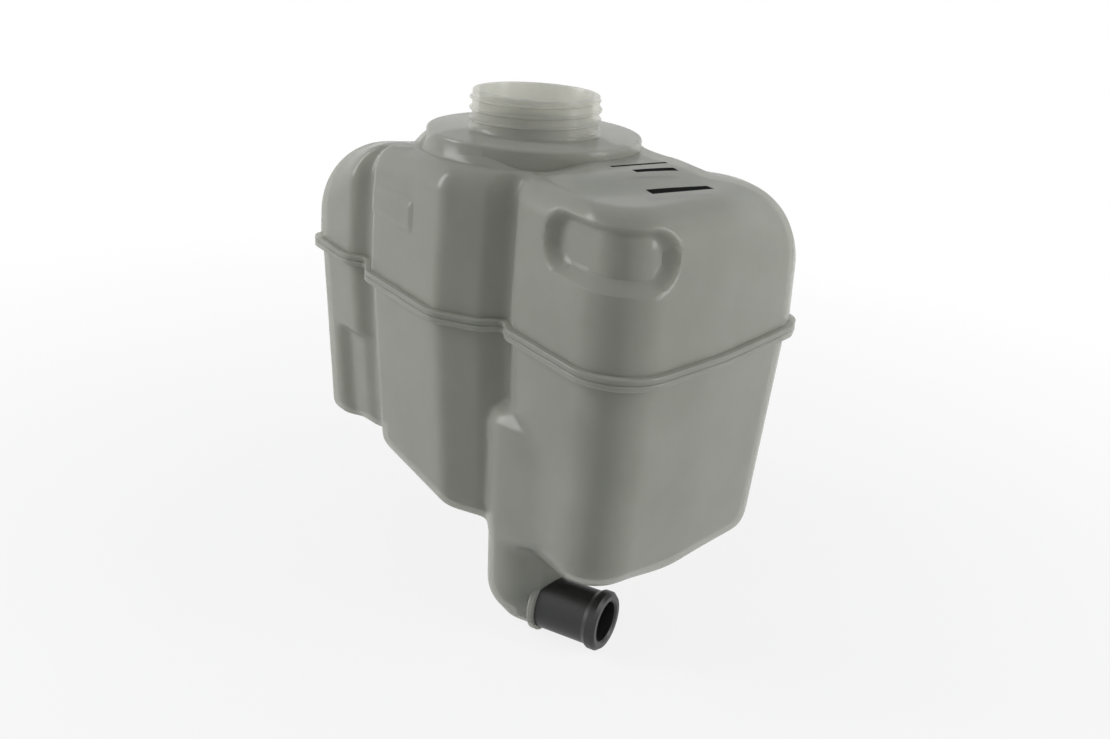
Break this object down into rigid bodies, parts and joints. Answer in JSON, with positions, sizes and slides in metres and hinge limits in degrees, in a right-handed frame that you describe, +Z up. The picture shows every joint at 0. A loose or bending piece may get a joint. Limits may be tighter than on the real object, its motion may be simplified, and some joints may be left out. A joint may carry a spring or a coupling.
{
  "type": "coolant expansion tank",
  "caption": "Translucent moulded coolant expansion tank with a lobed outline, an open screw neck, a wrap-round recess and a dark hose spigot on a leg under its right lobe.",
  "frame": {"origin": "centre of the filler neck's rim", "axes": "+Z up along the neck, +X along the tank towards the hose spigot's end, +Y towards the plain back wall"},
  "size_m": [0.217, 0.1322, 0.2084],
  "materials": {
    "natural_pp": "translucent natural polypropylene, satin",
    "black_nylon": "satin",
    "float_foam": "matt closed-cell foam",
    "ferrite": "sintered",
    "white_nylon": "matt"
  },
  "bodies": {
    "tank": {"upper_shell": "natural_pp", "lower_shell": "natural_pp", "hose_spigot": "black_nylon", "float_retainer": "white_nylon"},
    "float": {"level_float": "float_foam", "float_magnet": "ferrite"}
  },
  "joints": [
    {"name": "float_slide", "type": "slide", "parent": "tank", "child": "float", "axis": [0, 0, 1], "range_m": [0, 0.0205]}
  ]
}
